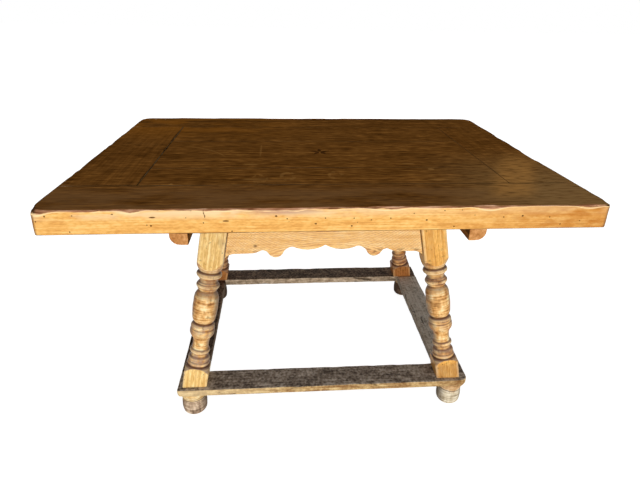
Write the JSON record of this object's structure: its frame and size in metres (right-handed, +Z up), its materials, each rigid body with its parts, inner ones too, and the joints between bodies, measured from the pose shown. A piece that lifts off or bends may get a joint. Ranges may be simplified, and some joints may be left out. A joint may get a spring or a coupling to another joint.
{
  "type": "tavern table",
  "caption": "Long tavern table with a thick framed plank top, splayed turned legs, scalloped aprons and a low stretcher frame on turned feet.",
  "frame": {"origin": "on the floor, under the middle of the table top", "axes": "+X along the table to the right of someone at its front, front towards -Y, +Z up"},
  "size_m": [1.3899, 1.02, 0.77],
  "materials": {
    "top_wood": "worn satin wax",
    "leg_wood": "worn wax",
    "stretcher_wood": "scuffed and dirty",
    "foot_wood": "dry and worn",
    "cleat_wood": "worn wax",
    "inlay_wood": "worn satin wax",
    "peg_wood": "dry"
  },
  "bodies": {
    "root": {"apron_pegs": "peg_wood", "back_apron": "leg_wood", "back_left_foot": "foot_wood", "back_left_leg": "leg_wood", "back_right_foot": "foot_wood", "back_right_leg": "leg_wood", "back_stretcher": "stretcher_wood", "front_apron": "leg_wood", "front_left_foot": "foot_wood", "front_left_leg": "leg_wood", "front_right_foot": "foot_wood", "front_right_leg": "leg_wood", "front_stretcher": "stretcher_wood", "left_apron": "leg_wood", "left_cleat": "cleat_wood", "left_stretcher": "stretcher_wood", "right_apron": "leg_wood", "right_cleat": "cleat_wood", "right_stretcher": "stretcher_wood", "star_inlay": "inlay_wood", "top_back_board": "top_wood", "top_frame_pegs": "peg_wood", "top_front_board": "top_wood", "top_left_end_board": "top_wood", "top_panel_back_board": "top_wood", "top_panel_front_board": "top_wood", "top_panel_middle_board": "top_wood", "top_pins": "peg_wood", "top_right_end_board": "top_wood"}
  },
  "joints": []
}
